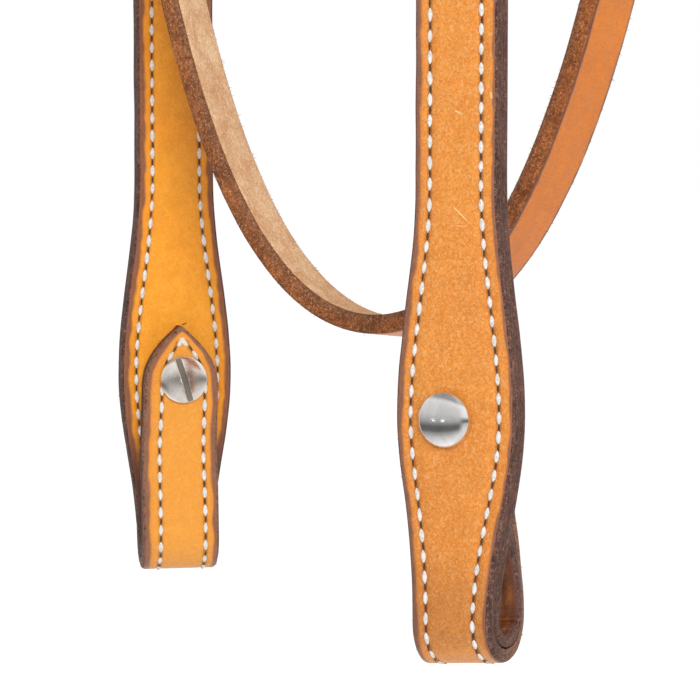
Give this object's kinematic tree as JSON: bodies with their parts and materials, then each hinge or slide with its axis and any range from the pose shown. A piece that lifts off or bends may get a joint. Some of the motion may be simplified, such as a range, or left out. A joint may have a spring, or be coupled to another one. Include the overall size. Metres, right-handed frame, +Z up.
{
  "type": "western headstall",
  "caption": "Western browband headstall hanging from its crown: stitched leather cheeks with screwed bit loops, buckles, keepers and a throatlatch.",
  "frame": {"origin": "the middle of the crown's underside, where it rests on a round bridle bracket", "axes": "+Z up, +X towards the horse's left (the near cheek in the picture), -Y towards the horse's forehead"},
  "size_m": [0.132, 0.2192, 0.5273],
  "materials": {
    "strap_leather": "oiled harness leather, grain side, with burnished brown edges",
    "lining_leather": "lighter harness leather lining, grain side",
    "throatlatch_leather": "thick single strap, smooth outside and suede inside",
    "stainless_steel": "polished"
  },
  "bodies": {
    "crown": {"crown_outer": "strap_leather", "crown_lining": "lining_leather", "left_cheek_billet": "strap_leather", "left_throat_billet": "strap_leather", "right_cheek_billet": "strap_leather", "right_throat_billet": "strap_leather"},
    "browband": {"browband_outer": "strap_leather", "browband_lining": "lining_leather"},
    "throatlatch": {"throatlatch_strap": "throatlatch_leather", "left_throat_buckle": "stainless_steel", "left_throat_fixed_keeper": "throatlatch_leather", "right_throat_buckle": "stainless_steel", "right_throat_fixed_keeper": "throatlatch_leather"},
    "left_cheek": {"left_cheek_outer": "strap_leather", "left_cheek_lining": "lining_leather", "left_cheek_buckle": "stainless_steel", "left_cheek_fixed_keeper": "strap_leather", "left_bit_post": "stainless_steel"},
    "right_cheek": {"right_cheek_outer": "strap_leather", "right_cheek_lining": "lining_leather", "right_cheek_buckle": "stainless_steel", "right_cheek_fixed_keeper": "strap_leather", "right_bit_post": "stainless_steel"},
    "left_cheek_tongue_wire": {"left_cheek_tongue": "stainless_steel"},
    "left_cheek_keeper_band": {"left_cheek_sliding_keeper": "strap_leather"},
    "left_throat_tongue_wire": {"left_throat_tongue": "stainless_steel"},
    "left_throat_keeper_band": {"left_throat_sliding_keeper": "throatlatch_leather"},
    "left_bit_screw_turning": {"left_bit_screw": "stainless_steel"},
    "right_cheek_tongue_wire": {"right_cheek_tongue": "stainless_steel"},
    "right_cheek_keeper_band": {"right_cheek_sliding_keeper": "strap_leather"},
    "right_throat_tongue_wire": {"right_throat_tongue": "stainless_steel"},
    "right_throat_keeper_band": {"right_throat_sliding_keeper": "throatlatch_leather"},
    "right_bit_screw_turning": {"right_bit_screw": "stainless_steel"}
  },
  "joints": [
    {"name": "browband_slide", "type": "slide", "parent": "crown", "child": "browband", "axis": [0, 0, 1], "range_m": [-0.01, 0.01]},
    {"name": "left_cheek_swing", "type": "hinge", "parent": "crown", "child": "left_cheek", "pos_m": [0.05565, -0.0115, -0.193], "axis": [0, 1, 0], "range_deg": [-40, 4], "deforming": ["left_cheek_billet"]},
    {"name": "right_cheek_swing", "type": "hinge", "parent": "crown", "child": "right_cheek", "pos_m": [-0.05565, -0.0115, -0.193], "axis": [0, 1, 0], "range_deg": [0, 40], "deforming": ["right_cheek_billet"]},
    {"name": "throatlatch_swing", "type": "hinge", "parent": "crown", "child": "throatlatch", "pos_m": [0, 0.0115, -0.17], "axis": [1, 0, 0], "range_deg": [0, 40], "deforming": ["left_throat_billet", "right_throat_billet"]},
    {"name": "left_cheek_tongue_swing", "type": "hinge", "parent": "left_cheek", "child": "left_cheek_tongue_wire", "pos_m": [0.05565, -0.0115, -0.25], "axis": [0.4384, 0.8988, 0], "range_deg": [0, 10]},
    {"name": "left_cheek_keeper_slide", "type": "slide", "parent": "left_cheek", "child": "left_cheek_keeper_band", "axis": [0, 0, 1], "range_m": [-0.006, 0.012]},
    {"name": "left_throat_tongue_swing", "type": "hinge", "parent": "throatlatch", "child": "left_throat_tongue_wire", "pos_m": [0.05565, 0.0115, -0.205], "axis": [0, 1, 0], "range_deg": [0, 10]},
    {"name": "left_throat_keeper_slide", "type": "slide", "parent": "throatlatch", "child": "left_throat_keeper_band", "axis": [0, 0, 1], "range_m": [-0.006, 0.0075]},
    {"name": "left_bit_screw_turn", "type": "hinge", "parent": "left_cheek", "child": "left_bit_screw_turning", "pos_m": [0.05299, -0.01035, -0.477], "axis": [-0.5299, 0.848, 0], "continuous": true},
    {"name": "right_cheek_tongue_swing", "type": "hinge", "parent": "right_cheek", "child": "right_cheek_tongue_wire", "pos_m": [-0.05565, -0.0115, -0.25], "axis": [-0.1045, -0.9945, 0], "range_deg": [0, 10]},
    {"name": "right_cheek_keeper_slide", "type": "slide", "parent": "right_cheek", "child": "right_cheek_keeper_band", "axis": [0, 0, 1], "range_m": [-0.006, 0.012]},
    {"name": "right_throat_tongue_swing", "type": "hinge", "parent": "throatlatch", "child": "right_throat_tongue_wire", "pos_m": [-0.05565, 0.0115, -0.205], "axis": [0, -1, 0], "range_deg": [0, 10]},
    {"name": "right_throat_keeper_slide", "type": "slide", "parent": "throatlatch", "child": "right_throat_keeper_band", "axis": [0, 0, 1], "range_m": [-0.006, 0.0075]},
    {"name": "right_bit_screw_turn", "type": "hinge", "parent": "right_cheek", "child": "right_bit_screw_turning", "pos_m": [-0.0556, -0.01221, -0.4775], "axis": [0.9659, -0.2588, 0], "continuous": true}
  ]
}
